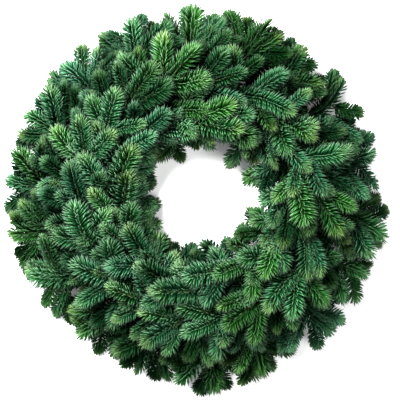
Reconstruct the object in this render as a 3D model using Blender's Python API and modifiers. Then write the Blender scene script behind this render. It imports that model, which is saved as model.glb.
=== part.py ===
"""Evergreen wreath: noble fir sprays bound with florist's wire to a crimped wire ring.

Metres, +Z up. The wreath lies on its back on the surface z = 0, centred on the Z axis.
A flow angle turns clockwise, seen from above, from the +Y axis: the way the sprays point.
Eighteen bundles of three sprays follow each other round the ring. Each spray leaves its stem's
slot at the ring and lies on a layer that rises with the angle turned, so that its tips lie on
the bundles in front of it and its stem lies under the bundles behind it.
"""
import math
import random

import bmesh
import bpy
from mathutils import Vector
from mathutils.geometry import intersect_line_line_2d

# ring of crimped wire
RING_RADIUS = 0.152
RING_WIRE_RADIUS = 0.0018
RING_SIDES = 8
CRIMPS = 36
CRIMP_HEIGHT = 0.0019
FIRST_CREST = 9.0

# binding wire, wound round the ring and the stems: it passes under the ring at each crest
BINDING_RADIUS = 0.00045
BINDING_SIDES = 4
BINDING_TURNS = 36
BINDING_POINTS_PER_TURN = 10
BINDING_HALF_WIDTH = 0.0089
BINDING_SQUARENESS = 0.65
BINDING_OVER = 0.0083
BINDING_UNDER = 0.0025

# stems: their tails lie along the ring between two flow angles counted from their bundle
BUNDLES = 18
STEM_RADIUS = 0.0022
STEM_STEP = 0.016
SEAT_GAP = 0.0003
SIDE_SEAT_LIFT = 0.0018
TAIL_START = 1.5
TAIL_END = 17.0
TAIL_STEPS = 5

# layers: rise from one bundle to the next, and from one spray to the next within a bundle
LAYER_RISE = 0.0295
FAMILY_RISE = 0.0099
FAMILY_BLEND = 12.0
FLATTER_AT_HOLE = 0.24
CREST_INNER = 0.150
CREST_OUTER = 0.215
RIM_DROOP = 0.020
HOLE_DROOP = 0.008
SURFACE_CLEARANCE = 0.0046
SOFT_CLAMP = 0.004

# outlines that the leading tips reach: a radius, and waves of (count, share, peak in radians)
RIM_RADIUS = 0.296
RIM_WAVES = ((4, 0.010, 0.8), (2, 0.006, -1.3))
HOLE_RADIUS = 0.098
HOLE_WAVES = ((1, 0.10, 1.36), (2, 0.08, 2.76), (3, 0.10, 3.04))

# main stems
PATH_STEP = 0.004
FIRST_BEND = 0.030
LONG_BEND = 0.110
SWAY = 6.0
LENGTH_SPREAD = 0.10
RIM_SPREAD = 0.06
HOLE_SPREAD = 0.16
INNER_TIP_TURN = 42.0
SHORTEST_INNER = 0.114

# shoots: the needles round each one are a flat pad, with half widths as shares of the widest
PAD_WIDTH = 0.031
PAD_THICKNESS = 0.0050
FORK_WIDTHS = (0.80, 0.84, 0.84)
SHOULDER_WIDTH = 0.96
NEAR_TIP_WIDTH = 0.74
TIP_WIDTH = 0.30
TIP_LENGTH = 0.011
SHOULDER_AT = 0.42
LEADER_LENGTH = (0.060, 0.072)
FORK_SPACING = (0.038, 0.046)
FORK_AFTER_TAIL = 0.032
FORK_BACK = -0.0035
FORK_FRONT = 0.0275
BARE_BEFORE_FORK = 0.016
SIDE_ANGLE = (44.0, 54.0)
LOWER_ANGLE_MORE = (4.0, 9.0)
LOWER_LENGTH = (1.25, 1.45)
UPPER_LENGTH = (0.90, 1.06)
SHORTER_AT_HOLE = 0.74
SIDE_BEND = 0.25
SIDE_STEPS = 6
PAD_GAP = 0.0015
TURN_AWAY = math.radians(2.0)
WIDEST_FORK = math.radians(88.0)
MERGE = 0.0001
SEED = 116

# slot: where the tail lies, out from the ring wire and up on top of it
# level: which layer of its bundle the spray lies in, from the bottom
# headings: degrees outward from the ring's tangent where the stem leaves it, first and at the tip
# reach: 1 ends at the rim, -1 at the hole, 0 at its own length
FAMILIES = {
    "outer": {"slot": (1, 0), "level": 0, "headings": (42.0, 66.0), "length": 0.230, "reach": 1},
    "inner": {"slot": (-1, 0), "level": 1, "headings": (-29.0, -56.0), "length": 0.200, "reach": -1},
    "crown": {"slot": (0, 1), "level": 2, "headings": (8.0, -20.0), "length": 0.192, "reach": 0},
}

PINE_GREEN = (0.04, 0.11, 0.05, 1.0)
BINDING_GREEN = (0.03, 0.12, 0.06, 1.0)
RING_GREEN = (0.02, 0.06, 0.03, 1.0)


def clear_scene():
    for item in list(bpy.data.objects):
        bpy.data.objects.remove(item, do_unlink=True)


def material(name, color, roughness, metallic):
    result = bpy.data.materials.new(name)
    result.use_nodes = True
    shader = result.node_tree.nodes["Principled BSDF"]
    shader.inputs["Base Color"].default_value = color
    shader.inputs["Roughness"].default_value = roughness
    shader.inputs["Metallic"].default_value = metallic
    result.diffuse_color = color
    return result


def at_flow_angle(radius, degrees, height=0.0):
    angle = math.radians(degrees)
    return Vector((radius * math.sin(angle), radius * math.cos(angle), height))


def flow_angle(point):
    return math.degrees(math.atan2(point.x, point.y))


def smooth(value):
    value = min(max(value, 0.0), 1.0)
    return value * value * (3.0 - 2.0 * value)


def power(value, exponent):
    return math.copysign(abs(value) ** exponent, value)


def waved(radius, waves, degrees):
    a = math.radians(degrees)
    return radius * (1.0 + sum(share * math.cos(count * a - peak) for count, share, peak in waves))


def wire_object(name, points, radius, sides, tilt, group, surface):
    """A closed loop of wire through the points; the tilt lays a flat side down."""
    curve = bpy.data.curves.new(name, "CURVE")
    curve.dimensions = "3D"
    curve.twist_mode = "Z_UP"
    curve.bevel_depth = radius
    curve.bevel_resolution = sides // 2 - 2
    spline = curve.splines.new("POLY")
    spline.points.add(len(points) - 1)
    for target, point in zip(spline.points, points):
        target.co = (*point, 1.0)
        target.tilt = tilt
    spline.use_cyclic_u = True
    curve.materials.append(surface)
    result = bpy.data.objects.new(name, curve)
    group.objects.link(result)
    return result


def trough_height():
    """The wire's middle where a flat side rests on the surface."""
    return RING_WIRE_RADIUS * math.cos(math.pi / RING_SIDES)


def crest_height():
    return trough_height() + CRIMP_HEIGHT


def ring_points():
    """Each crimp is a flat trough, a ramp up, a flat crest and a ramp down."""
    heights = (trough_height(), trough_height(), crest_height(), crest_height())
    step = 360.0 / (CRIMPS * len(heights))
    crest_middle = 2.5
    points = []
    for index in range(CRIMPS * len(heights)):
        angle = FIRST_CREST + (index - crest_middle) * step
        points.append(at_flow_angle(RING_RADIUS, angle, heights[index % len(heights)]))
    return points


def binding_points():
    """A squarish helix round the ring and the stems, one turn for each crimp."""
    centre = crest_height() + (BINDING_OVER - BINDING_UNDER) / 2
    half_height = (BINDING_OVER + BINDING_UNDER) / 2
    pitch = 360.0 / BINDING_TURNS
    points = []
    for index in range(BINDING_TURNS * BINDING_POINTS_PER_TURN):
        turn = index / BINDING_POINTS_PER_TURN
        angle = math.tau * turn
        across = BINDING_HALF_WIDTH * power(math.sin(angle), BINDING_SQUARENESS)
        height = centre - half_height * power(math.cos(angle), BINDING_SQUARENESS)
        points.append(at_flow_angle(RING_RADIUS - across, FIRST_CREST + turn * pitch, height))
    return points


def slot_place(family):
    """Where a tail's middle lies: out from the ring's middle line, and above the surface."""
    out, up = family["slot"]
    side_height = crest_height() + SIDE_SEAT_LIFT
    top_height = crest_height() + RING_WIRE_RADIUS + STEM_RADIUS + SEAT_GAP
    return out * (2 * STEM_RADIUS + SEAT_GAP), side_height + up * (top_height - side_height)


def layer_height(x, y, family, bundle_angle):
    """Height of a spray's middle above a place: its tail's slot, then its rising layer."""
    radius = math.hypot(x, y)
    turned = (math.degrees(math.atan2(x, y)) - bundle_angle + 90.0) % 360.0 - 90.0
    past = turned - TAIL_END
    raised = smooth(past / FAMILY_BLEND)
    _, seat = slot_place(family)
    base = crest_height() + SIDE_SEAT_LIFT
    over = max(radius - CREST_OUTER, 0.0) / (RIM_RADIUS - CREST_OUTER)
    under = max(CREST_INNER - radius, 0.0) / (CREST_INNER - HOLE_RADIUS)
    steepness = 1.0 - FLATTER_AT_HOLE * min(under, 1.0) ** 2
    droop = RIM_DROOP * over ** 1.5 + HOLE_DROOP * under ** 2
    rise = LAYER_RISE * max(past, 0.0) * BUNDLES / 360.0
    height = base + rise * steepness
    height += raised * (FAMILY_RISE * family["level"] * steepness - droop)
    height += (1.0 - raised) * (seat - base)
    over_surface = height - SURFACE_CLEARANCE
    clear = SURFACE_CLEARANCE + (over_surface + math.hypot(over_surface, SOFT_CLAMP)) / 2
    return height + (clear - height) * raised


class Path:
    """A stem seen from above, as a chain of points that can be read at any distance."""

    def __init__(self, points):
        self.points = points
        self.marks = [0.0]
        for before, after in zip(points, points[1:]):
            self.marks.append(self.marks[-1] + (after - before).length)
        self.length = self.marks[-1]

    def at(self, distance):
        """Point and unit direction at a distance."""
        index = 0
        while index < len(self.points) - 2 and self.marks[index + 1] < distance:
            index += 1
        direction = (self.points[index + 1] - self.points[index]).normalized()
        return self.points[index] + direction * (distance - self.marks[index]), direction


def main_path(family, bundle_angle, rng):
    """The main stem: along the ring in its slot, then away in its own direction."""
    out, _ = slot_place(family)
    radius = RING_RADIUS + out
    points = []
    for index in range(TAIL_STEPS + 1):
        turned = TAIL_START + (TAIL_END - TAIL_START) * index / TAIL_STEPS
        points.append(at_flow_angle(radius, bundle_angle + turned).to_2d())
    sway = rng.uniform(-SWAY, SWAY)
    turn = 1.0
    if family["reach"] < 0:
        room = RING_RADIUS - waved(HOLE_RADIUS, HOLE_WAVES, bundle_angle + INNER_TIP_TURN)
        turn = room / (RING_RADIUS - HOLE_RADIUS)
    first = family["headings"][0] * turn + sway
    last = family["headings"][1] * turn + 2.0 * sway
    stretch = rng.uniform(-0.5, 0.5)
    tail_length = radius * math.radians(TAIL_END - TAIL_START)
    limit = family["length"] * (1.0 + LENGTH_SPREAD * stretch)
    travelled = tail_length
    while travelled < limit:
        past = travelled - tail_length
        heading = first * smooth(past / FIRST_BEND)
        heading += (last - first) * smooth((past - FIRST_BEND) / LONG_BEND)
        angle = math.radians(bundle_angle + TAIL_END - heading)
        points.append(points[-1] + Vector((math.cos(angle), -math.sin(angle))) * PATH_STEP)
        travelled += PATH_STEP
        tip = points[-1]
        rim = waved(RIM_RADIUS, RIM_WAVES, flow_angle(tip)) * (1.0 + RIM_SPREAD * stretch)
        hole = waved(HOLE_RADIUS, HOLE_WAVES, flow_angle(tip)) * (1.0 + HOLE_SPREAD * stretch)
        if family["reach"] > 0 and tip.length > rim:
            break
        long_enough = travelled > tail_length + SHORTEST_INNER
        if family["reach"] < 0 and tip.length < hole and long_enough:
            break
    return Path(points)


def side_path(start, heading, turned, length):
    """A side shoot leaves the main stem, turned from a heading, and bends a little back to it."""
    points = [start]
    for index in range(SIDE_STEPS):
        angle = heading + turned * (1.0 - SIDE_BEND * index / SIDE_STEPS)
        points.append(points[-1] + Vector((math.cos(angle), math.sin(angle))) * length / SIDE_STEPS)
    return Path(points)


def edge_points(path, distance, half_width):
    """The two edge points of a strip, left and right, where it crosses a distance along its path."""
    point, direction = path.at(distance)
    side = Vector((-direction.y, direction.x)) * half_width
    return point + side, point - side


def side_stations(path, angle, half):
    """Where a side shoot's pad is measured: past the main pad, near its tip and at its tip."""
    clear = half / math.sin(abs(angle))
    return (
        (clear + (path.length - clear) * SHOULDER_AT, half * SHOULDER_WIDTH),
        (path.length - TIP_LENGTH, half * NEAR_TIP_WIDTH),
        (path.length, half * TIP_WIDTH),
    )


def outline(corners, path, stations, widen=0.0):
    """The edge of a strip from one corner round its tip to the other."""
    sides = [edge_points(path, distance, half + widen) for distance, half in stations]
    left = [side[0] for side in sides]
    right = [side[1] for side in sides]
    return [corners[0], *left, *reversed(right), corners[1]]


def crosses(line, other):
    """Whether two edges meet anywhere but at an end that they share."""
    for a, b in zip(line, line[1:]):
        for c, d in zip(other, other[1:]):
            shared = min((a - c).length, (a - d).length, (b - c).length, (b - d).length) < MERGE
            if not shared and intersect_line_line_2d(a, b, c, d):
                return True
    return False


def add_strip(sheet, corners, path, stations):
    """A strip of faces from a pair of corners on through the stations, left and right."""
    pairs = [corners]
    for distance, half_width in stations:
        left, right = pairs[-1]
        far_left, far_right = edge_points(path, distance, half_width)
        next_left = sheet.verts.new((*far_left, 0.0))
        next_right = sheet.verts.new((*far_right, 0.0))
        sheet.faces.new((left, right, next_right, next_left))
        pairs.append((next_left, next_right))
    return pairs


def add_side_shoot(sheet, main, corners, fork, heading, turned, length, half, edges):
    """A side shoot's pad grows from the main strip's edge, turned away until it clears the others."""
    start, direction = main.at(fork)
    forward = math.atan2(direction.y, direction.x)
    ends = [corner.co.to_2d() for corner in corners]
    while True:
        path = side_path(start, heading, turned, length)
        local_turn = heading + turned - forward
        stations = side_stations(path, local_turn, half)
        wide = outline(ends, path, stations, PAD_GAP)
        if abs(local_turn) > WIDEST_FORK or not any(crosses(wide, edge) for edge in edges):
            break
        turned += math.copysign(TURN_AWAY, turned)
    edges.append(outline(ends, path, stations))
    add_strip(sheet, corners, path, stations)


def draw_spray(sheet, family, bundle_angle, rng):
    """The spray's outline as a flat sheet; returns how many of its first vertices are bare stem."""
    main = main_path(family, bundle_angle, rng)
    leader = rng.uniform(*LEADER_LENGTH)
    spacing = rng.uniform(*FORK_SPACING)
    tail_length = RING_RADIUS * math.radians(TAIL_END - TAIL_START)
    free = main.length - tail_length - FORK_AFTER_TAIL
    shrink = min(1.0, free / (leader + spacing))
    leader *= shrink
    upper = main.length - leader
    lower = upper - spacing * shrink
    half = PAD_WIDTH / 2 * shrink
    bare_end = lower - BARE_BEFORE_FORK
    bare_steps = math.ceil(bare_end / STEM_STEP)
    bare = [(bare_end * step / bare_steps, STEM_RADIUS) for step in range(1, bare_steps + 1)]
    leafy = [
        (lower + FORK_BACK * shrink, half * FORK_WIDTHS[0]),
        (lower + FORK_FRONT * shrink, half * FORK_WIDTHS[1]),
        (upper + FORK_BACK * shrink, half * FORK_WIDTHS[2]),
        (upper + FORK_FRONT * shrink, half * SHOULDER_WIDTH),
        (main.length - TIP_LENGTH, half * NEAR_TIP_WIDTH),
        (main.length, half * TIP_WIDTH),
    ]
    cut_left, cut_right = edge_points(main, 0.0, STEM_RADIUS)
    cut_end = (sheet.verts.new((*cut_left, 0.0)), sheet.verts.new((*cut_right, 0.0)))
    pairs = add_strip(sheet, cut_end, main, bare + leafy)
    edges = [outline((cut_left, cut_right), main, bare + leafy)]
    lower_pair = len(bare) + 1
    upper_pair = lower_pair + 2
    _, direction = main.at(upper)
    heading = math.atan2(direction.y, direction.x)
    for side in (1, -1):
        angle = rng.uniform(*SIDE_ANGLE)
        lower_angle = angle + rng.uniform(*LOWER_ANGLE_MORE)
        lower_length = leader * rng.uniform(*LOWER_LENGTH)
        upper_length = leader * rng.uniform(*UPPER_LENGTH)
        if family["reach"] < 0 and side < 0:
            lower_length *= SHORTER_AT_HOLE
            upper_length *= SHORTER_AT_HOLE
        for pair, fork, degrees, length in (
            (upper_pair, upper, angle, upper_length),
            (lower_pair, lower, lower_angle, lower_length),
        ):
            near = pairs[pair]
            far = pairs[pair + 1]
            corners = (near[0], far[0]) if side > 0 else (far[1], near[1])
            turned = math.radians(side * degrees)
            add_side_shoot(sheet, main, corners, fork, heading, turned, length, half, edges)
    return 2 * len(bare) + 2


def spray_object(name, family, bundle, group, foliage):
    """One cut branch tip, laid on its layer and given its thickness."""
    rng = random.Random(SEED * 1000 + bundle * 10 + family["level"])
    bundle_angle = 360.0 * bundle / BUNDLES
    sheet = bmesh.new()
    bare_count = draw_spray(sheet, family, bundle_angle, rng)
    for vertex in sheet.verts:
        vertex.co.z = layer_height(vertex.co.x, vertex.co.y, family, bundle_angle)
    bmesh.ops.recalc_face_normals(sheet, faces=sheet.faces)
    mesh = bpy.data.meshes.new(name)
    sheet.to_mesh(mesh)
    sheet.free()
    mesh.materials.append(foliage)
    result = bpy.data.objects.new(name, mesh)
    group.objects.link(result)
    leafy = result.vertex_groups.new(name="leafy")
    leafy.add(list(range(bare_count, len(mesh.vertices))), 1.0, "REPLACE")
    body = result.modifiers.new("body", "SOLIDIFY")
    body.thickness = PAD_THICKNESS
    body.offset = 0.0
    body.vertex_group = leafy.name
    body.thickness_vertex_group = 2 * STEM_RADIUS / PAD_THICKNESS
    return result


def build():
    clear_scene()
    wreath = bpy.data.collections.new("evergreen_wreath")
    bpy.context.scene.collection.children.link(wreath)
    ring_paint = material("ring_paint", RING_GREEN, 0.45, 0.0)
    binding_paint = material("binding_paint", BINDING_GREEN, 0.45, 0.0)
    foliage = material("fir_foliage", PINE_GREEN, 0.6, 0.0)
    flat_down = math.pi / RING_SIDES
    wire_object("wire_ring", ring_points(), RING_WIRE_RADIUS, RING_SIDES, flat_down, wreath, ring_paint)
    wire_object(
        "binding_wire", binding_points(), BINDING_RADIUS, BINDING_SIDES, 0.0, wreath, binding_paint
    )
    for bundle in range(BUNDLES):
        for family_name, family in FAMILIES.items():
            spray_object(f"{family_name}_spray_{bundle + 1:02d}", family, bundle, wreath, foliage)


build()
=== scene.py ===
"""A fresh noble fir wreath, lying on its back on a pale table."""

import math
import random

import bpy
import numpy as np
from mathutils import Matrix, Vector
from mathutils.geometry import intersect_line_line_2d


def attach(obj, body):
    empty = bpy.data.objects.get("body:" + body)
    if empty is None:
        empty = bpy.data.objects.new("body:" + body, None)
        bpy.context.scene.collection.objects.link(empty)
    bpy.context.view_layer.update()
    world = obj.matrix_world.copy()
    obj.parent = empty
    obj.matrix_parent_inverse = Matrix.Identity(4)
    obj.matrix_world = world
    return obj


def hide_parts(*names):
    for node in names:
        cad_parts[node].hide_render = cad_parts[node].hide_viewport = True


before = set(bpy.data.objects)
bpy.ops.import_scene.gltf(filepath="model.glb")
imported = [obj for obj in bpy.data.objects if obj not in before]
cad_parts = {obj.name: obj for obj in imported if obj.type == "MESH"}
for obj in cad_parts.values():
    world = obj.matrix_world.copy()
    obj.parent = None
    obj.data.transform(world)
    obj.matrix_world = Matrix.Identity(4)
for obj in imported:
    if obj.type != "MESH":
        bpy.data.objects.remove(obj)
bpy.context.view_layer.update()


# The ring. A 12 inch wreath ring of steel wire, crimped up and down all the way round so that
# stems can't slide along it, butt-welded shut and dipped in dark green varnish.
RING_RADIUS = 0.152
RING_WIRE_RADIUS = 0.0018
CRIMPS = 36
CRIMP_HEIGHT = 0.0019
CRIMP_LEVEL = 0.25
FIRST_CREST = 9.0
CRIMP_POINTS = 12
RING_SIDES = 12
WELD_AT = 331.0
WELD_WIDTH = 1.1
WELD_GROWTH = 0.28
BAKE_FILL = 0.96


def linear(code):
    """An sRGB hex colour as linear RGBA."""
    parts = [int(code[place:place + 2], 16) / 255 for place in (1, 3, 5)]
    return (*[p / 12.92 if p <= 0.04045 else ((p + 0.055) / 1.055) ** 2.4 for p in parts], 1.0)


def add_node(material, kind, links=(), values=(), **settings):
    """Adds one shader node with its settings, socket values and incoming links."""
    made = material.node_tree.nodes.new("ShaderNode" + kind)
    for name, value in settings.items():
        setattr(made, name, value)
    for socket, value in dict(values).items():
        made.inputs[socket].default_value = value
    for socket, source in dict(links).items():
        material.node_tree.links.new(source, made.inputs[socket])
    return made


def new_material(name):
    """A material with only its output node."""
    material = bpy.data.materials.new(name)
    material.use_nodes = True
    material.node_tree.nodes.clear()
    return material


def finish_material(material, shader):
    """Joins the shader to the material's output."""
    add_node(material, "OutputMaterial", {"Surface": shader.outputs["BSDF"]})


# Sockets of a Mix node that mixes colours
FACTOR, FIRST, SECOND, RESULT = 0, 6, 7, 2

# Ring varnish: thin air-drying alkyd over steel, dipped. It pools in the troughs and wears thin
# on the crests, so it is uneven in gloss and shows a little darker steel.
varnish = new_material("ring_varnish_on_steel")
place = add_node(varnish, "TexCoord")
pooling = add_node(
    varnish, "TexNoise", {"Vector": place.outputs["Object"]}, {"Scale": 160.0, "Detail": 4.0}
)
worn = add_node(
    varnish, "TexNoise", {"Vector": place.outputs["Object"]}, {"Scale": 700.0, "Detail": 3.0}
)
wear = add_node(
    varnish, "MapRange", {"Value": worn.outputs["Fac"]}, {"From Min": 0.62, "From Max": 0.70}
)
green = add_node(
    varnish, "Mix", {FACTOR: pooling.outputs["Fac"]},
    {FIRST: linear("#1E3A27"), SECOND: linear("#2F5A3A")}, data_type="RGBA",
)
worn_green = add_node(
    varnish, "Mix", {FACTOR: wear.outputs["Result"], FIRST: green.outputs[RESULT]},
    {SECOND: linear("#4B4C48")}, data_type="RGBA",
)
gloss = add_node(
    varnish, "MapRange", {"Value": pooling.outputs["Fac"]}, {"To Min": 0.28, "To Max": 0.5}
)
runs = add_node(
    varnish, "Bump", {"Height": pooling.outputs["Fac"]}, {"Strength": 0.3, "Distance": 0.0002}
)
finish_material(varnish, add_node(
    varnish, "BsdfPrincipled",
    {
        "Base Color": worn_green.outputs[RESULT],
        "Roughness": gloss.outputs["Result"],
        "Normal": runs.outputs["Normal"],
    },
    {"IOR": 1.5},
))


def put_in_scene(name, data):
    """A new object for a mesh, lamp or camera."""
    made = bpy.data.objects.new(name, data)
    bpy.context.scene.collection.objects.link(made)
    return made


def at_flow_angle(radius, degrees, height=0.0):
    """A point on a circle; angles start at +Y and grow clockwise, the way the sprays sweep."""
    angle = math.radians(degrees)
    return Vector((radius * math.sin(angle), radius * math.cos(angle), height))


def flow_angle(point):
    """The angle of a point, counted as in at_flow_angle."""
    return math.degrees(math.atan2(point.x, point.y))


def smooth(value):
    """Eases from 0 to 1, and holds still outside."""
    value = min(max(value, 0.0), 1.0)
    return value * value * (3.0 - 2.0 * value)


def unit(vectors):
    """The same directions at length 1."""
    return vectors / np.linalg.norm(vectors, axis=-1, keepdims=True)


def closed_tube(name, points, radii, sides, material):
    """A closed loop of round wire as one mesh, with its bake map laid out in one long strip."""
    spine = np.array([tuple(point) for point in points])
    ahead = unit(np.roll(spine, -1, axis=0) - np.roll(spine, 1, axis=0))
    out = spine * (1.0, 1.0, 0.0)
    across = unit(out - ahead * np.sum(out * ahead, axis=1)[:, None])
    above = np.cross(ahead, across)
    angles = np.arange(sides) * math.tau / sides
    cosines, sines = np.cos(angles)[:, None], np.sin(angles)[:, None]
    around = cosines * across[:, None] + sines * above[:, None]
    rings = spine[:, None] + np.array(radii)[:, None, None] * around
    count = len(spine)
    faces = []
    corners = []
    rows = math.ceil(math.sqrt(count / sides))
    per_row = math.ceil(count / rows)
    for index in range(count):
        here, there = index * sides, (index + 1) % count * sides
        row, column = divmod(index, per_row)
        left, right = column / per_row, (column + 1) / per_row
        for side in range(sides):
            beside = (side + 1) % sides
            faces.append((here + side, here + beside, there + beside, there + side))
            low = (row + side / sides * BAKE_FILL) / rows
            high = (row + (side + 1) / sides * BAKE_FILL) / rows
            corners.extend((left, low, left, high, right, high, right, low))
    mesh = bpy.data.meshes.new(name)
    mesh.from_pydata(rings.reshape(-1, 3).tolist(), [], faces)
    mesh.uv_layers.new(name="OFBake").data.foreach_set("uv", corners)
    mesh.shade_smooth()
    mesh.materials.append(material)
    return put_in_scene(name, mesh)


ring_points = []
ring_radii = []
crimp_turn = 360.0 / CRIMPS
for index in range(CRIMPS * CRIMP_POINTS):
    angle = FIRST_CREST + index * crimp_turn / CRIMP_POINTS
    from_crest = abs(index / CRIMP_POINTS % 1.0 - 0.5) * 2.0
    drop = smooth((from_crest - CRIMP_LEVEL) / (1.0 - 2.0 * CRIMP_LEVEL))
    height = RING_WIRE_RADIUS + CRIMP_HEIGHT * drop
    ring_points.append(at_flow_angle(RING_RADIUS, angle, height))
    from_weld = abs((angle - WELD_AT + 180.0) % 360.0 - 180.0)
    bead = WELD_GROWTH * smooth(1.0 - from_weld / WELD_WIDTH)
    ring_radii.append(RING_WIRE_RADIUS * (1.0 + bead))
    ring_points[-1].z += RING_WIRE_RADIUS * bead
ring = closed_tube("crimped_ring", ring_points, ring_radii, RING_SIDES, varnish)
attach(ring, "root")
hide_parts("wire_ring")


# The binding. One long soft iron paddle wire, lacquered green, wound round the stems and the ring
# and pulled tight. It crosses under the ring only at the crests of the crimps, two turns at each.
BINDING_RADIUS = 0.00045
TURNS_AT_CREST = 2
TURN_SPACING = 0.75
BINDING_HALF_WIDTH = 0.0089
BINDING_SQUARENESS = 0.65
BINDING_OVER = 0.0083
BINDING_UNDER = 0.0025
TURN_POINTS = 16
BINDING_SIDES = 6

# Florist's wire lacquer: bright green dye in a thin clear coat, scuffed by the winding.
lacquer = new_material("florist_wire_lacquer")
place = add_node(lacquer, "TexCoord")
scuffs = add_node(
    lacquer, "TexNoise", {"Vector": place.outputs["Object"]}, {"Scale": 450.0, "Detail": 5.0}
)
dye = add_node(
    lacquer, "Mix", {FACTOR: scuffs.outputs["Fac"]},
    {FIRST: linear("#1F5A33"), SECOND: linear("#4C8A55")}, data_type="RGBA",
)
sheen = add_node(
    lacquer, "MapRange", {"Value": scuffs.outputs["Fac"]}, {"To Min": 0.22, "To Max": 0.5}
)
scratches = add_node(
    lacquer, "Bump", {"Height": scuffs.outputs["Fac"]}, {"Strength": 0.2, "Distance": 0.0001}
)
finish_material(lacquer, add_node(
    lacquer, "BsdfPrincipled",
    {
        "Base Color": dye.outputs[RESULT],
        "Roughness": sheen.outputs["Result"],
        "Normal": scratches.outputs["Normal"],
    },
    {"IOR": 1.5, "Metallic": 0.3},
))


def power(value, exponent):
    """A power that keeps the sign; under 1 it squares up a circle."""
    return math.copysign(abs(value) ** exponent, value)


crest_height = RING_WIRE_RADIUS + CRIMP_HEIGHT
binding_points = []
for index in range(CRIMPS * TURNS_AT_CREST * TURN_POINTS):
    turn = index / TURN_POINTS
    crest = turn / TURNS_AT_CREST
    between = crest % 1.0 * TURNS_AT_CREST
    step = (smooth(between) - 0.5) * TURN_SPACING if between < 1.0 else 0.5 * TURN_SPACING
    leap = smooth((between - 1.0) / (TURNS_AT_CREST - 1.0)) * (crimp_turn - TURN_SPACING)
    angle = math.tau * turn
    across = BINDING_HALF_WIDTH * power(math.sin(angle), BINDING_SQUARENESS)
    middle = crest_height + (BINDING_OVER - BINDING_UNDER) / 2
    half_height = (BINDING_OVER + BINDING_UNDER) / 2
    height = middle - half_height * power(math.cos(angle), BINDING_SQUARENESS)
    along = FIRST_CREST + math.floor(crest) * crimp_turn + step + max(leap, 0.0)
    binding_points.append(at_flow_angle(RING_RADIUS - across, along, height))
binding = closed_tube(
    "paddle_wire_binding", binding_points, [BINDING_RADIUS] * len(binding_points),
    BINDING_SIDES, lacquer,
)
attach(binding, "root")
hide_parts("binding_wire")


# The sprays. 54 cut branch tips of noble fir, laid in bundles of three, all pointing clockwise,
# each with its bare tail bound to the ring under the next bundle. A spray has a main stem with a
# leader and two pairs of side shoots, and each shoot ends in a bud.
BUNDLES = 18
SEED = 116
# Stems and their seats on the ring, with the bare tail in degrees after the bundle's own angle
STEM_RADIUS = 0.0022
STEM_STEP = 0.016
SEAT_GAP = 0.0003
SIDE_SEAT_LIFT = 0.0018
TAIL_START = 1.5
TAIL_END = 17.0
TAIL_STEPS = 5
TAIL_LENGTH = RING_RADIUS * math.radians(TAIL_END - TAIL_START)
# How the sprays rise over each other, and droop from the crest to the rim and to the hole
LAYER_RISE = 0.0295
FAMILY_RISE = 0.0099
FAMILY_BLEND = 12.0
FLATTER_AT_HOLE = 0.24
CREST_INNER = 0.150
CREST_OUTER = 0.215
RIM_DROOP = 0.020
RIM_DROOP_POWER = 1.5
HOLE_DROOP = 0.008
SURFACE_CLEARANCE = 0.0046
SOFT_CLAMP = 0.004
# The rim and the hole, each with its waves: how many, how deep and where the peak is
RIM_RADIUS = 0.296
RIM_WAVES = ((4, 0.010, 0.8), (2, 0.006, -1.3))
HOLE_RADIUS = 0.098
HOLE_WAVES = ((1, 0.10, 1.36), (2, 0.08, 2.76), (3, 0.10, 3.04))
# The main stems' paths from the tail to the tip
PATH_STEP = 0.004
FIRST_BEND = 0.030
LONG_BEND = 0.110
SWAY = 6.0
LENGTH_SPREAD = 0.10
RIM_SPREAD = 0.06
HOLE_SPREAD = 0.16
INNER_TIP_TURN = 42.0
SHORTEST_INNER = 0.114
# A shoot's room among the others, and how the shoots fork
PAD_WIDTH = 0.031
FORK_WIDTHS = (0.80, 0.84, 0.84)
SHOULDER_WIDTH = 0.96
NEAR_TIP_WIDTH = 0.74
TIP_WIDTH = 0.30
TIP_LENGTH = 0.011
SHOULDER_AT = 0.42
LEADER_LENGTH = (0.060, 0.072)
FORK_SPACING = (0.038, 0.046)
FORK_AFTER_TAIL = 0.032
FORK_BACK = -0.0035
FORK_FRONT = 0.0275
BARE_BEFORE_FORK = 0.016
SIDE_ANGLE = (44.0, 54.0)
LOWER_ANGLE_MORE = (4.0, 9.0)
LOWER_LENGTH = (1.25, 1.45)
UPPER_LENGTH = (0.90, 1.06)
SHORTER_AT_HOLE = 0.74
SIDE_BEND = 0.25
SIDE_STEPS = 6
PAD_GAP = 0.0015
TURN_AWAY = math.radians(2.0)
WIDEST_FORK = math.radians(88.0)
MERGE = 0.0001
# Each kind of spray: its seat, its layer, its headings from the ring in degrees, its length, and
# whether it reaches out to the rim or in to the hole
FAMILIES = {
    "outer": {"slot": (1, 0), "level": 0, "headings": (42.0, 66.0), "length": 0.230, "reach": 1},
    "inner": {"slot": (-1, 0), "level": 1, "headings": (-29.0, -56.0), "length": 0.200, "reach": -1},
    "crown": {"slot": (0, 1), "level": 2, "headings": (8.0, -20.0), "length": 0.192, "reach": 0},
}
# The stems seat as if the ring's wire had eight flat sides
SEAT_SIDES = 8
SEAT_CREST = RING_WIRE_RADIUS * math.cos(math.pi / SEAT_SIDES) + CRIMP_HEIGHT


def waved(radius, waves, degrees):
    """The radius of a rim or hole at an angle."""
    angle = math.radians(degrees)
    swell = sum(share * math.cos(count * angle - peak) for count, share, peak in waves)
    return radius * (1.0 + swell)


def slot_place(family):
    """Where a tail's middle lies: out from the ring's middle line, and above the surface."""
    out, up = family["slot"]
    side_height = SEAT_CREST + SIDE_SEAT_LIFT
    top_height = SEAT_CREST + RING_WIRE_RADIUS + STEM_RADIUS + SEAT_GAP
    return out * (2 * STEM_RADIUS + SEAT_GAP), side_height + up * (top_height - side_height)


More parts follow.
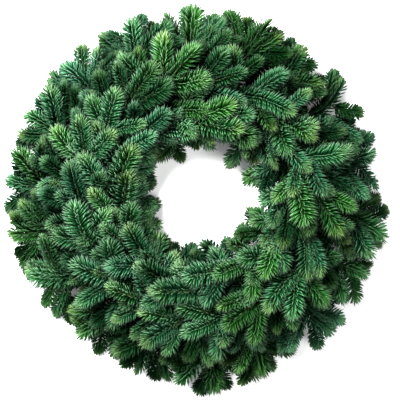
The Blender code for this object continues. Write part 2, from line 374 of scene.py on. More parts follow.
def layer_height(x, y, family, bundle_angle):
    """Height of a spray's middle above a place: its tail's slot, then its rising layer."""
    radius = math.hypot(x, y)
    # Degrees past the tail, which may lie up to a quarter turn back
    past = (math.degrees(math.atan2(x, y)) - bundle_angle + 90.0) % 360.0 - 90.0 - TAIL_END
    raised = smooth(past / FAMILY_BLEND)
    _, seat = slot_place(family)
    base = SEAT_CREST + SIDE_SEAT_LIFT
    over = max(radius - CREST_OUTER, 0.0) / (RIM_RADIUS - CREST_OUTER)
    under = max(CREST_INNER - radius, 0.0) / (CREST_INNER - HOLE_RADIUS)
    steepness = 1.0 - FLATTER_AT_HOLE * min(under, 1.0) ** 2
    droop = RIM_DROOP * over ** RIM_DROOP_POWER + HOLE_DROOP * under ** 2
    rise = LAYER_RISE * max(past, 0.0) * BUNDLES / 360.0
    height = base + rise * steepness
    height += raised * (FAMILY_RISE * family["level"] * steepness - droop)
    height += (1.0 - raised) * (seat - base)
    over_surface = height - SURFACE_CLEARANCE
    clear = SURFACE_CLEARANCE + (over_surface + math.hypot(over_surface, SOFT_CLAMP)) / 2
    return height + (clear - height) * raised


class Path:
    """A stem seen from above, as a chain of points that can be read at any distance."""

    def __init__(self, points):
        self.points = points
        self.marks = [0.0]
        for before, after in zip(points, points[1:]):
            self.marks.append(self.marks[-1] + (after - before).length)
        self.length = self.marks[-1]

    def at(self, distance):
        """Point and unit direction at a distance."""
        index = 0
        while index < len(self.points) - 2 and self.marks[index + 1] < distance:
            index += 1
        direction = (self.points[index + 1] - self.points[index]).normalized()
        return self.points[index] + direction * (distance - self.marks[index]), direction


def main_path(family, bundle_angle, rng):
    """The main stem: along the ring in its slot, then away in its own direction."""
    out, _ = slot_place(family)
    radius = RING_RADIUS + out
    points = []
    for index in range(TAIL_STEPS + 1):
        turned = TAIL_START + (TAIL_END - TAIL_START) * index / TAIL_STEPS
        points.append(at_flow_angle(radius, bundle_angle + turned).to_2d())
    sway = rng.uniform(-SWAY, SWAY)
    turn = 1.0
    if family["reach"] < 0:
        room = RING_RADIUS - waved(HOLE_RADIUS, HOLE_WAVES, bundle_angle + INNER_TIP_TURN)
        turn = room / (RING_RADIUS - HOLE_RADIUS)
    first = family["headings"][0] * turn + sway
    last = family["headings"][1] * turn + 2.0 * sway
    stretch = rng.uniform(-0.5, 0.5)
    tail_length = radius * math.radians(TAIL_END - TAIL_START)
    limit = family["length"] * (1.0 + LENGTH_SPREAD * stretch)
    travelled = tail_length
    while travelled < limit:
        past = travelled - tail_length
        heading = first * smooth(past / FIRST_BEND)
        heading += (last - first) * smooth((past - FIRST_BEND) / LONG_BEND)
        angle = math.radians(bundle_angle + TAIL_END - heading)
        points.append(points[-1] + Vector((math.cos(angle), -math.sin(angle))) * PATH_STEP)
        travelled += PATH_STEP
        tip = points[-1]
        rim = waved(RIM_RADIUS, RIM_WAVES, flow_angle(tip)) * (1.0 + RIM_SPREAD * stretch)
        hole = waved(HOLE_RADIUS, HOLE_WAVES, flow_angle(tip)) * (1.0 + HOLE_SPREAD * stretch)
        if family["reach"] > 0 and tip.length > rim:
            break
        long_enough = travelled > tail_length + SHORTEST_INNER
        if family["reach"] < 0 and tip.length < hole and long_enough:
            break
    return Path(points)


def side_path(start, heading, turned, length):
    """A side shoot leaves the main stem, turned from a heading, and bends a little back to it."""
    points = [start]
    for index in range(SIDE_STEPS):
        angle = heading + turned * (1.0 - SIDE_BEND * index / SIDE_STEPS)
        ahead = Vector((math.cos(angle), math.sin(angle)))
        points.append(points[-1] + ahead * length / SIDE_STEPS)
    return Path(points)


def edge_points(path, distance, half_width):
    """The points to the left and right of a path."""
    point, direction = path.at(distance)
    side = Vector((-direction.y, direction.x)) * half_width
    return point + side, point - side


def side_stations(path, angle, half):
    """Distances and half widths where a side shoot's outline turns."""
    clear = half / math.sin(abs(angle))
    return (
        (clear + (path.length - clear) * SHOULDER_AT, half * SHOULDER_WIDTH),
        (path.length - TIP_LENGTH, half * NEAR_TIP_WIDTH),
        (path.length, half * TIP_WIDTH),
    )


def outline(corners, path, stations, widen=0.0):
    """The line round a shoot's foliage, from one corner of its fork to the other."""
    left, right = zip(*(edge_points(path, place, half + widen) for place, half in stations))
    return [corners[0], *left, *right[::-1], corners[1]]


def crosses(line, other):
    """Whether two lines cross, apart from where they share a corner."""
    for a, b in zip(line, line[1:]):
        for c, d in zip(other, other[1:]):
            shared = min((a - c).length, (a - d).length, (b - c).length, (b - d).length) < MERGE
            if not shared and intersect_line_line_2d(a, b, c, d):
                return True
    return False


def side_shoot(main, corners, fork, heading, turned, length, half, edges):
    """A side shoot's path, turned away until its foliage clears that of the other shoots."""
    start, direction = main.at(fork)
    forward = math.atan2(direction.y, direction.x)
    while True:
        path = side_path(start, heading, turned, length)
        local_turn = heading + turned - forward
        stations = side_stations(path, local_turn, half)
        wide = outline(corners, path, stations, PAD_GAP)
        if abs(local_turn) > WIDEST_FORK or not any(crosses(wide, edge) for edge in edges):
            break
        turned += math.copysign(TURN_AWAY, turned)
    edges.append(outline(corners, path, stations))
    return path


def spray_paths(family, bundle_angle, rng):
    """The main stem's path, where its leader starts, and the side shoots' paths and forks."""
    main = main_path(family, bundle_angle, rng)
    leader = rng.uniform(*LEADER_LENGTH)
    spacing = rng.uniform(*FORK_SPACING)
    free = main.length - TAIL_LENGTH - FORK_AFTER_TAIL
    shrink = min(1.0, free / (leader + spacing))
    leader *= shrink
    upper = main.length - leader
    lower = upper - spacing * shrink
    half = PAD_WIDTH / 2 * shrink
    bare_end = lower - BARE_BEFORE_FORK
    bare_steps = math.ceil(bare_end / STEM_STEP)
    bare = [(bare_end * step / bare_steps, STEM_RADIUS) for step in range(1, bare_steps + 1)]
    leafy = [
        (lower + FORK_BACK * shrink, half * FORK_WIDTHS[0]),
        (lower + FORK_FRONT * shrink, half * FORK_WIDTHS[1]),
        (upper + FORK_BACK * shrink, half * FORK_WIDTHS[2]),
        (upper + FORK_FRONT * shrink, half * SHOULDER_WIDTH),
        (main.length - TIP_LENGTH, half * NEAR_TIP_WIDTH),
        (main.length, half * TIP_WIDTH),
    ]
    cut_end = edge_points(main, 0.0, STEM_RADIUS)
    pairs = [cut_end] + [edge_points(main, distance, wide) for distance, wide in bare + leafy]
    edges = [outline(cut_end, main, bare + leafy)]
    lower_pair = len(bare) + 1
    upper_pair = lower_pair + 2
    _, direction = main.at(upper)
    heading = math.atan2(direction.y, direction.x)
    sides = []
    for side in (1, -1):
        angle = rng.uniform(*SIDE_ANGLE)
        lower_angle = angle + rng.uniform(*LOWER_ANGLE_MORE)
        lower_length = leader * rng.uniform(*LOWER_LENGTH)
        upper_length = leader * rng.uniform(*UPPER_LENGTH)
        if family["reach"] < 0 and side < 0:
            lower_length *= SHORTER_AT_HOLE
            upper_length *= SHORTER_AT_HOLE
        for pair, fork, degrees, length in (
            (upper_pair, upper, angle, upper_length),
            (lower_pair, lower, lower_angle, lower_length),
        ):
            near, far = pairs[pair:pair + 2]
            corners = (near[0], far[0]) if side > 0 else (far[1], near[1])
            turned = math.radians(side * degrees)
            sides.append(side_shoot(main, corners, fork, heading, turned, length, half, edges))
    return main, upper, sides, shrink


# How the shoots grow. Needles stand round the twig in rows, brushed to its sides and forward and
# arching over it, so a shoot is a plump brush with a parting along its top and a round end.
NEEDLE_LENGTH = 0.0174
NEEDLE_WIDTH = 0.00155
NEEDLE_SPACING = 0.0041
NEEDLE_ROOT = 0.6
FIRST_NEEDLE = 0.004
LEADER_NEEDLES_BACK = 0.012
# For each row: the sides it is on, its lift above the shoot's plane and its spread from the twig
# in degrees, its length and spacing as shares, where in the spacing it starts, its painted shade
# (the low rows lie under the upper ones, so they are painted dark) and its width as a share
NEEDLE_ROWS = (
    ((-1.0, 1.0), -24.0, 72.0, 1.00, 1.60, 0.5, 0.92, 1.80),
    ((-1.0, 1.0), 4.0, 70.0, 1.06, 0.96, 0.5, 0.70, 1.25),
    ((-1.0, 1.0), 34.0, 67.0, 1.04, 0.96, 0.0, 0.1, 1.00),
    ((-1.0, 1.0), 62.0, 62.0, 0.92, 0.96, 0.5, 0.0, 1.00),
    ((1.0,), 88.0, 46.0, 0.66, 0.95, 0.3, 0.0, 0.95),
)
# How far each measure of a needle strays, and between which shares its curl and width stay
STRAY = {
    "place": 0.0003, "lift": 0.07, "spread": 0.06, "curl": 0.25, "length": 0.05, "width": 0.08,
}
CURL_RANGE = (0.4, 1.6)
WIDTH_RANGE = (0.7, 1.3)
FORWARD_CURL = 0.36
UPWARD_CURL = 0.10
FACE_TILT = 0.3
# The first needles of a shoot are shorter; towards its tip they crowd, close up, get finer and carry
# less painted shade
GROWN_AFTER = 0.012
FIRST_SHARE = 0.75
TIP_ZONE = 0.009
TIP_CROWDING = 0.015
TIP_SPREAD = math.radians(6.0)
TIP_LESS = {"curl": 0.6, "length": 0.18, "width": 0.3, "gloom": 0.5}
# Old needles on the covered stem: where they start and end, their spacing, painted shade and width
OLD_FROM = 0.75
OLD_TO = 0.004
OLD_SPACING = 1.2
OLD_PAINTED_SHADE = 0.92
OLD_WIDTH = 1.5
# Painted shade: needles are painted dusky at the foot of a shoot, where later shoots cover it, and
# dark deep under the canopy, whose height is given at some radii; dark needles are wider, so that
# they close the gaps
BASE_PAINTED_SHADE = 0.48
BASE_REACH = 0.4
CANOPY_RADII = (0.07, 0.10, 0.15, 0.21, 0.26, 0.30)
CANOPY_HEIGHTS = (0.015, 0.050, 0.085, 0.085, 0.052, 0.012)
DEEP_BY = 0.040
DEEP_PAINTED_SHADE = 0.95
DARKEST = 0.92
DARK_WIDTH = 0.50
SHADE_STRAY = 0.35
# Each spray and each shoot has its own painted shade (gloom) drawn at random, tone of green and
# share of fresh growth
SPRAY_PAINTED_SHADE = 0.68
GLOOM_POWER = 1.6
SHOOT_PAINTED_SHADE = (0.0, 0.34)
SPRAY_TONE = (-0.1, 1.1)
SHOOT_TONE = 0.25
FRESH_LEAST = 0.1
FRESH_MORE = 0.65
FRESH_ZONE = 0.014
# How far shoots stop short of their paths or grow past them, by reach: rim, crest and hole
TIP_BACK = {1: 0.0120, 0: 0.007, -1: 0.008}
SIDE_GROWTH = {1: 0.0095, 0: 0.0, -1: -0.007}
REACH_SPREAD = {1: 0.004, 0: 0.0, -1: 0.017}
RIM_LIMIT = 0.293
RIM_PRESS = 0.45
# Twigs: radii at the foot and at the tip, rings of the mesh, and the age of the bark
TWIG_RADIUS = (0.0014, 0.0008)
MAIN_RADIUS = (0.0024, 0.0009)
TWIG_RINGS = 8
MAIN_RINGS = 20
MAIN_AGE = 1.6
YEAR_LENGTH = 0.09
# Each kind of shoot: how much it rises, the size of its needles and how much shade is painted on
# it; the lower and weak side shoots lie under the others and are painted darker
LEADER = {"rise": (0.000, 0.020), "size": (0.96, 1.52), "dark": 0.0}
UPPER_SIDE = {"rise": (-0.008, 0.014), "size": (0.82, 1.38), "dark": 0.05}
LOWER_SIDE = {"rise": (-0.016, 0.004), "size": (0.84, 1.14), "dark": 0.45}
SMALL_SIDE = {"rise": (-0.008, 0.004), "size": (0.80, 1.00), "dark": 0.6}
UPRIGHT = {"rise": (0.008, 0.028), "size": (0.78, 1.26), "dark": 0.0}
SHOOT_ROLES = (LEADER, UPPER_SIDE, LOWER_SIDE, UPPER_SIDE, LOWER_SIDE, SMALL_SIDE)
CEILING = 0.0838
CEILING_SHARE = 0.50
SHOOT_STEP = 0.005
FEWEST_STEPS = 8
SHOOT_ROLL = math.radians(26.0)
SHOOT_SWAY = 0.0100
FREE_POWER = 1.6
# Weak shoots: how many, how long, how far turned, and where they fork
SMALL_SHOOTS = {1: 10, -1: 2, 0: 2}
SMALL_LENGTH = (0.038, 0.055)
SMALL_TURN = (36.0, 58.0)
FORKS_ON_LOWER = (0.42, 0.50)
FORKS_ON_LEADER = (0.36, 0.42)
FORK_ON_UPPER = 0.40
FORKS_ON_STEM = (0.022, 0.030)
# Buds, and for each of the three at a tip: its turn, its size as a share and how far back it sits
BUD_LENGTH = 0.0048
BUD_WIDTH = 0.0030
BUD_CLUSTER = ((0.0, 1.0, 0.0008), (0.75, 0.7, 0.0022), (-0.75, 0.7, 0.0022))
BUD_SIZES = (0.9, 1.1)
TABLE_GAP = 0.0019
TABLE_CLAMP = 0.0035

# The cross-sections, as steps across and above: a needle is flat on top with a keel below
NEEDLE_SECTION = ((-0.5, 0.12), (0.5, 0.12), (0.0, -0.34))
KEEL_BELOW = -0.2
NEEDLE_GIRTH = (0.80, 1.0)
NEEDLE_MARKS = (0.0, 0.70, 1.0)
ROUND_SIDES = 5
ROUND_SECTION = tuple(
    (math.cos(math.tau * side / ROUND_SIDES), math.sin(math.tau * side / ROUND_SIDES))
    for side in range(ROUND_SIDES)
)
BUD_GIRTH = (0.66, 1.0, 0.70)
BUD_MARKS = (0.0, 0.38, 0.78, 1.0)
# The bake map: bands for needles, twigs and buds, each with its low edge, height and the shape of
# its cells, and the part of a cell for a rod's sides and for its foot
NEEDLE_BAND = (0.0, 0.90, 1.0)
TWIG_BAND = (0.90, 0.07, 0.01)
BUD_BAND = (0.97, 0.03, 0.7)
CELL_MARGIN = 0.06
CELL_SIDES = (0.12, 0.86)
FOOT_MIDDLE = (0.5, 0.05)
FOOT_RADIUS = (0.44, 0.044)


class Foliage:
    """The rods of one spray: needles, twigs and buds, each with its place in the bake map."""

    TRAITS = ("along", "shade", "youth", "tone", "under")

    def __init__(self):
        self.vertices = []
        self.faces = []
        self.corners = []
        self.surfaces = []
        self.traits = {trait: [] for trait in self.TRAITS}
        self.count = 0

    def add_rods(self, spine, across, above, girth, section, cells, surface, traits):
        """Closed rods from rods x rings spines; the last spine point is the rod's tip."""
        rods, marks = spine.shape[:2]
        rings, sides = marks - 1, len(section)
        section = np.array(section)
        spread = section[:, 0, None] * across[:, :rings, None]
        spread = spread + section[:, 1, None] * above[:, :rings, None]
        body = spine[:, :rings, None] + girth[:, :rings, None, None] * spread
        points = np.concatenate((body.reshape(rods, -1, 3), spine[:, -1:]), axis=1)
        self.vertices.append(points.reshape(-1, 3))
        per_rod = rings * sides + 1
        start = self.count + np.arange(rods)[:, None, None] * per_rod
        ring = np.arange(rings - 1)[:, None] * sides
        side = np.arange(sides)
        beside = (side + 1) % sides
        walls = start[..., None] + np.stack(
            (ring + side, ring + beside, ring + sides + beside, ring + sides + side), axis=-1
        )
        last = (rings - 1) * sides
        peak = np.full(sides, per_rod - 1)
        cones = start + np.stack((last + side, last + beside, peak), axis=-1)
        bases = start[:, 0] + side[::-1]
        left, low, wide, tall = (cells[:, place, None, None] for place in range(4))
        foot, body_share = CELL_SIDES[0], CELL_SIDES[1] / (marks - 1)
        u0, u1 = left + wide * (side / sides), left + wide * ((side + 1) / sides)
        v0 = low + tall * (foot + body_share * np.arange(rings))[:, None]
        v1 = v0 + tall * body_share
        u0, u1, v0, v1 = np.broadcast_arrays(u0, u1, v0, v1)
        wall_map = np.stack((u0, v0, u1, v0, u1, v1, u0, v1), axis=-1)[:, :-1]
        cone_map = np.stack((u0, v0, u1, v0, (u0 + u1) / 2, v1), axis=-1)[:, -1]
        round_base = math.tau * side[::-1] / sides
        base_u = left[:, 0] + wide[:, 0] * (FOOT_MIDDLE[0] + FOOT_RADIUS[0] * np.cos(round_base))
        base_v = low[:, 0] + tall[:, 0] * (FOOT_MIDDLE[1] + FOOT_RADIUS[1] * np.sin(round_base))
        base_map = np.stack((base_u, base_v), axis=-1)
        self.faces.extend(walls.reshape(-1, 4).tolist())
        self.faces.extend(cones.reshape(-1, 3).tolist())
        self.faces.extend(bases.reshape(-1, sides).tolist())
        self.corners += [wall_map.ravel(), cone_map.ravel(), base_map.ravel()]
        self.surfaces.append(np.full(rods * per_rod, surface))
        along = np.concatenate((np.repeat(np.linspace(0.0, 1.0, marks)[:-1], sides), (1.0,)))
        under = np.concatenate((np.tile(section[:, 1] < KEEL_BELOW, rings), (False,)))
        given = dict(traits, along=along[None], under=under[None].astype(float))
        for trait, values in self.traits.items():
            values.append(np.broadcast_to(given[trait], (rods, per_rod)).ravel())
        self.count += rods * per_rod

    def to_object(self, name, materials):
        """The whole spray as one object, with its bake map and the needles' traits."""
        mesh = bpy.data.meshes.new(name)
        mesh.from_pydata(np.concatenate(self.vertices).tolist(), [], self.faces)
        mesh.uv_layers.new(name="OFBake").data.foreach_set("uv", np.concatenate(self.corners))
        for material in materials:
            mesh.materials.append(material)
        mesh.polygons.foreach_set("material_index", np.concatenate(self.surfaces))
        for trait, values in self.traits.items():
            layer = mesh.attributes.new(trait, "FLOAT", "POINT")
            layer.data.foreach_set("value", np.concatenate(values))
        mesh.shade_smooth()
        return put_in_scene(name, mesh)


def grid_cells(count, band):
    """Cells for a number of rods in one band of the bake map: left, low, width, height."""
    low, height, shape = band
    columns = max(1, round(math.sqrt(count / height * shape)))
    rows = math.ceil(count / columns)
    index = np.arange(count)
    wide, tall = 1.0 / columns, height / rows
    return np.stack((
        (index % columns + CELL_MARGIN) * wide,
        low + (index // columns + CELL_MARGIN) * tall,
        np.full(count, wide * (1 - 2 * CELL_MARGIN)),
        np.full(count, tall * (1 - 2 * CELL_MARGIN)),
    ), axis=1)


def lie_on_table(points):
    """Lifts what would sink into the table, and lays it flat."""
    height = points[..., 2] - TABLE_GAP
    points[..., 2] = TABLE_GAP + (height + np.hypot(height, TABLE_CLAMP)) / 2
    return points


class Shoot:
    """One twig in space, with a frame of directions that can be read at any distance."""

    def __init__(self, path, length, family, bundle_angle, rise, free_from, roll, sway):
        self.length = length
        steps = max(FEWEST_STEPS, round(length / SHOOT_STEP))
        self.marks = np.linspace(0.0, self.length, steps + 1)
        line = []
        for distance in self.marks:
            point, direction = path.at(distance)
            free = (max(distance - free_from, 0.0) / (path.length - free_from)) ** FREE_POWER
            point = point + Vector((-direction.y, direction.x)) * sway * free
            point *= 1.0 - RIM_PRESS * max(point.length - RIM_LIMIT, 0.0) / point.length
            height = layer_height(point.x, point.y, family, bundle_angle) + rise * free
            height -= max(height - CEILING, 0.0) * (1.0 - CEILING_SHARE)
            line.append((*point, height))
        self.line = lie_on_table(np.array(line))
        self.ahead = unit(np.gradient(self.line, self.marks, axis=0))
        self.roll = roll

    def read(self, distances):
        """Points, and the directions ahead, to the right and above."""
        point = np.stack([np.interp(distances, self.marks, axis) for axis in self.line.T], -1)
        ahead = np.stack([np.interp(distances, self.marks, axis) for axis in self.ahead.T], -1)
        ahead = unit(ahead)
        right = unit(np.cross(ahead, (0.0, 0.0, 1.0)))
        above = np.cross(right, ahead)
        c, s = math.cos(self.roll), math.sin(self.roll)
        return point, ahead, right * c + above * s, above * c - right * s


def needle_places(length, first, spacing_share=1.0):
    """For every needle: distance, side, lift, spread, share of full length, darkness, width."""
    places = []
    grown = length - first + TIP_CROWDING
    marks = (0.0, length - first - TIP_ZONE, grown)
    for sides, lift, spread, share, spacing, phase, dark, wide in NEEDLE_ROWS:
        for side in sides:
            step = NEEDLE_SPACING * spacing * spacing_share
            along = np.interp(
                np.arange(phase * step, grown, step), marks, (first, length - TIP_ZONE, length)
            )
            same = (side, math.radians(lift), math.radians(spread), share, dark, wide)
            places.append(np.column_stack((along, np.tile(same, (len(along), 1)))))
    return np.concatenate(places)


def add_needles(foliage, shoot, places, looks, size, tone, freshness, gloom, cells, radius):
    """The needles of a shoot, each bent forward from where it leaves the twig."""
    distance, side, lift, spread, share, dark, wide = (column[:, None] for column in places.T)
    count = len(places)
    vary = looks.normal(0.0, 1.0, (count, 6))
    lift = lift + STRAY["lift"] * vary[:, :1]
    point, ahead, right, above = shoot.read(distance[:, 0] + STRAY["place"] * vary[:, 5])
    fan = np.clip(1.0 - (shoot.length - distance) / TIP_ZONE, 0.0, 1.0)
    spread = spread + (TIP_SPREAD - spread) * fan + STRAY["spread"] * vary[:, 1:2]
    out = right * side * np.cos(lift) + above * np.sin(lift)
    leave = ahead * np.cos(spread) + out * np.sin(spread)
    curl = ahead * FORWARD_CURL * (1.0 - TIP_LESS["curl"] * fan)
    curl = curl + above * UPWARD_CURL * (1.0 - np.sin(lift))
    curl = curl * np.clip(1.0 + STRAY["curl"] * vary[:, 2:3], *CURL_RANGE)
    grown = np.clip((distance - places[:, 0].min()) / GROWN_AFTER, 0.0, 1.0)
    length = NEEDLE_LENGTH * size * share * (1.0 + STRAY["length"] * vary[:, 3:4])
    length = length * (FIRST_SHARE + (1.0 - FIRST_SHARE) * grown)
    length = length * (1.0 - TIP_LESS["length"] * fan)
    spine = [point + out * radius * NEEDLE_ROOT]
    ways = []
    for before, after in zip(NEEDLE_MARKS, NEEDLE_MARKS[1:]):
        way = unit(leave + curl * (before + after) / 2)
        ways.append(way)
        spine.append(spine[-1] + way * length * (after - before))
    spine = lie_on_table(np.stack(spine, axis=1))
    ways = np.stack(ways, axis=1)
    face_up = (above + ahead * FACE_TILT + out * FACE_TILT)[:, None]
    across = unit(np.cross(ways, face_up))
    over = np.cross(across, ways)
    # Painted shade: dusky at the foot of the shoot, on the low rows and by gloom, dark deep under
    # the canopy
    base = np.clip(1.0 - distance / (BASE_REACH * shoot.length), 0.0, 1.0) * BASE_PAINTED_SHADE
    dark = np.maximum(np.maximum(dark, base), gloom * (1.0 - TIP_LESS["gloom"] * fan))
    canopy = np.interp(np.hypot(point[:, 0], point[:, 1]), CANOPY_RADII, CANOPY_HEIGHTS)
    deep = DEEP_PAINTED_SHADE * np.clip((canopy - point[:, 2]) / DEEP_BY, 0.0, 1.0)[:, None]
    dark = 1.0 - (1.0 - dark) * (1.0 - deep)
    girth = NEEDLE_WIDTH * wide * np.clip(1.0 + STRAY["width"] * vary[:, 4:5], *WIDTH_RANGE)
    girth = girth * (1.0 - TIP_LESS["width"] * fan)
    sideways = 1.0 - np.sin(np.abs(lift))
    girth = girth * (1.0 + DARK_WIDTH * dark * sideways) * np.array(NEEDLE_GIRTH)
    youth = np.clip(1.0 - (shoot.length - distance) / FRESH_ZONE, 0.0, 1.0) * freshness
    # The shade trait carries this painted shade, with a random spread
    light = 1.0 - SHADE_STRAY * looks.uniform(0.0, 1.0, (count, 1))
    shade = 1.0 - light * (1.0 - DARKEST * np.clip(dark, 0.0, 1.0))
    traits = {"shade": shade, "youth": youth, "tone": np.array([[tone]])}
    foliage.add_rods(spine, across, over, girth, NEEDLE_SECTION, cells, 0, traits)


def add_twig(foliage, shoot, radii, rings, cell, tone, years):
    """The twig itself, down to the bud."""
    distance = np.linspace(0.0, shoot.length, rings)
    point, _, right, above = shoot.read(distance)
    girth = np.interp(distance, (0.0, shoot.length), radii)[None]
    age = np.repeat(np.clip(years - distance / YEAR_LENGTH, 0.0, 1.0)[:-1], len(ROUND_SECTION))
    traits = {
        "shade": np.append(age, 0.0)[None], "youth": np.array([[1.0]]), "tone": np.array([[tone]]),
    }
    foliage.add_rods(point[None], right[None], above[None], girth, ROUND_SECTION, cell, 1, traits)


def add_buds(foliage, shoot, cells, looks, size):
    """A resting bud on the tip of the shoot and a smaller one on each side of it."""
    end, ahead, right, above = (values[0] for values in shoot.read(np.array([shoot.length])))
    spines, girths, acrosses, aboves = [], [], [], []
    for turn, share, back in BUD_CLUSTER:
        way = ahead * math.cos(turn) + right * math.sin(turn)
        start = end - ahead * back
        scale = size * share * looks.uniform(*BUD_SIZES)
        spines.append([start + way * BUD_LENGTH * scale * mark for mark in BUD_MARKS])
        girths.append([BUD_WIDTH / 2 * scale * girth for girth in BUD_GIRTH])
        acrosses.append([np.cross(way, above)] * len(BUD_GIRTH))
        aboves.append([above] * len(BUD_GIRTH))
    tint = looks.uniform(0.0, 1.0, (len(BUD_CLUSTER), 1))
    foliage.add_rods(
        lie_on_table(np.array(spines)), np.array(acrosses), np.array(aboves), np.array(girths),
        ROUND_SECTION, cells, 2, {"shade": tint, "youth": np.array([[1.0]]), "tone": tint},
    )


# Fir needle: a stiff leaf with a waxy skin, deep blue-green, yellower on new growth, paler towards
# its point (partly its own, partly a painted highlight) and with two pale bands of wax below. The
# skin is finely dulled, so it never mirrors. The shade trait is painted shade: covered needles are
# painted near black and lose their specular with it, and every needle is painted darker at its foot.
needle = new_material("noble_fir_needle")
along, shade, youth, tone, under = (
    add_node(needle, "Attribute", attribute_name=trait) for trait in Foliage.TRAITS
)
place = add_node(needle, "TexCoord")
mottle = add_node(
    needle, "TexNoise", {"Vector": place.outputs["Object"]}, {"Scale": 260.0, "Detail": 3.0}
)
body = add_node(
    needle, "Mix", {FACTOR: tone.outputs["Fac"]},
    {FIRST: linear("#347C2A"), SECOND: linear("#358058")}, data_type="RGBA",
)
fresh = add_node(
    needle, "Mix", {FACTOR: youth.outputs["Fac"], FIRST: body.outputs[RESULT]},
    {SECOND: linear("#7C9A3C")}, data_type="RGBA",
)
# Paler towards the point: partly the needle's own pale point, partly a painted highlight
point_and_highlight_share = add_node(
    needle, "MapRange", {"Value": along.outputs["Fac"]},
    {"From Min": 0.35, "From Max": 1.0, "To Max": 0.55},
)
pale_point_and_painted_highlight = add_node(
    needle, "Mix", {FACTOR: point_and_highlight_share.outputs["Result"], FIRST: fresh.outputs[RESULT]},
    {SECOND: linear("#AEBCAE")}, data_type="RGBA",
)
band_share = add_node(needle, "MapRange", {"Value": under.outputs["Fac"]}, {"To Max": 0.50})
banded = add_node(
    needle, "Mix", {FACTOR: band_share.outputs["Result"], FIRST: pale_point_and_painted_highlight.outputs[RESULT]},
    {SECOND: linear("#7E9C88")}, data_type="RGBA",
)
# Painted shade: the needle's colour goes to near black with the shade trait
painted_shade_mix = add_node(
    needle, "Mix", {FACTOR: shade.outputs["Fac"], FIRST: banded.outputs[RESULT]},
    {SECOND: linear("#001708")}, data_type="RGBA",
)
# Painted shade at the foot of each needle, by the twig
painted_foot_shade_share = add_node(
    needle, "MapRange", {"Value": along.outputs["Fac"]},
    {"From Max": 0.45, "To Min": 0.45, "To Max": 0.0},
)
deep = add_node(
    needle, "Mix", {FACTOR: painted_foot_shade_share.outputs["Result"], FIRST: painted_shade_mix.outputs[RESULT]},
    {SECOND: linear("#001405")}, data_type="RGBA",
)
dull = add_node(
    needle, "MapRange", {"Value": mottle.outputs["Fac"]}, {"To Min": 0.42, "To Max": 0.68}
)
# Specular turned down where shade is painted, so the painted shade stays dark
wax = add_node(
    needle, "MapRange", {"Value": shade.outputs["Fac"]}, {"To Min": 0.30, "To Max": 0.0}
)
skin = add_node(
    needle, "Bump", {"Height": mottle.outputs["Fac"]}, {"Strength": 0.25, "Distance": 0.0003}
)
finish_material(needle, add_node(
    needle, "BsdfPrincipled",
    {
        "Base Color": deep.outputs[RESULT],
        "Roughness": dull.outputs["Result"],
        "Specular IOR Level": wax.outputs["Result"],
        "Normal": skin.outputs["Normal"],
    },
    {"IOR": 1.45},
))

# Twig bark: smooth yellow-green skin on this year's wood, turning grey-brown and ridged on last
# year's; "shade" carries its age.
bark = new_material("fir_twig_bark")
age = add_node(bark, "Attribute", attribute_name="shade")
place = add_node(bark, "TexCoord")
ridges = add_node(
    bark, "TexNoise", {"Vector": place.outputs["Object"]}, {"Scale": 900.0, "Detail": 5.0}
)
wood = add_node(
    bark, "Mix", {FACTOR: ridges.outputs["Fac"]},
    {FIRST: linear("#26261A"), SECOND: linear("#3C3A28")}, data_type="RGBA",
)
new_wood = add_node(
    bark, "Mix", {FACTOR: ridges.outputs["Fac"]},
    {FIRST: linear("#39491F"), SECOND: linear("#4C5C2A")}, data_type="RGBA",
)
aged = add_node(
    bark, "Mix",
    {FACTOR: age.outputs["Fac"], FIRST: new_wood.outputs[RESULT], SECOND: wood.outputs[RESULT]},
    data_type="RGBA",
)
rough = add_node(
    bark, "MapRange", {"Value": ridges.outputs["Fac"]}, {"To Min": 0.55, "To Max": 0.85}
)
ridged = add_node(
    bark, "Bump", {"Height": ridges.outputs["Fac"]}, {"Strength": 0.5, "Distance": 0.0004}
)
finish_material(bark, add_node(
    bark, "BsdfPrincipled",
    {
        "Base Color": aged.outputs[RESULT],
        "Roughness": rough.outputs["Result"],
        "Normal": ridged.outputs["Normal"],
    },
    {"IOR": 1.45},
))

# Bud: overlapping scales under a coat of clear resin, yellow-green to light brown.
bud = new_material("resinous_bud")
tint = add_node(bud, "Attribute", attribute_name="shade")
place = add_node(bud, "TexCoord")
scales = add_node(bud, "TexVoronoi", {"Vector": place.outputs["Object"]}, {"Scale": 900.0})
scale_colour = add_node(
    bud, "Mix", {FACTOR: tint.outputs["Fac"]},
    {FIRST: linear("#7E8C40"), SECOND: linear("#80703C")}, data_type="RGBA",
)
scale_edge = add_node(
    bud, "Mix", {FACTOR: scales.outputs["Distance"], FIRST: scale_colour.outputs[RESULT]},
    {SECOND: linear("#5F5A32")}, data_type="RGBA",
)
resin = add_node(
    bud, "MapRange", {"Value": scales.outputs["Distance"]}, {"To Min": 0.25, "To Max": 0.6}
)
raised = add_node(
    bud, "Bump", {"Height": scales.outputs["Distance"]}, {"Strength": 0.5, "Distance": 0.0003}
)
finish_material(bud, add_node(
    bud, "BsdfPrincipled",
    {
        "Base Color": scale_edge.outputs[RESULT],
        "Roughness": resin.outputs["Result"],
        "Normal": raised.outputs["Normal"],
    },
    {"IOR": 1.5},
))


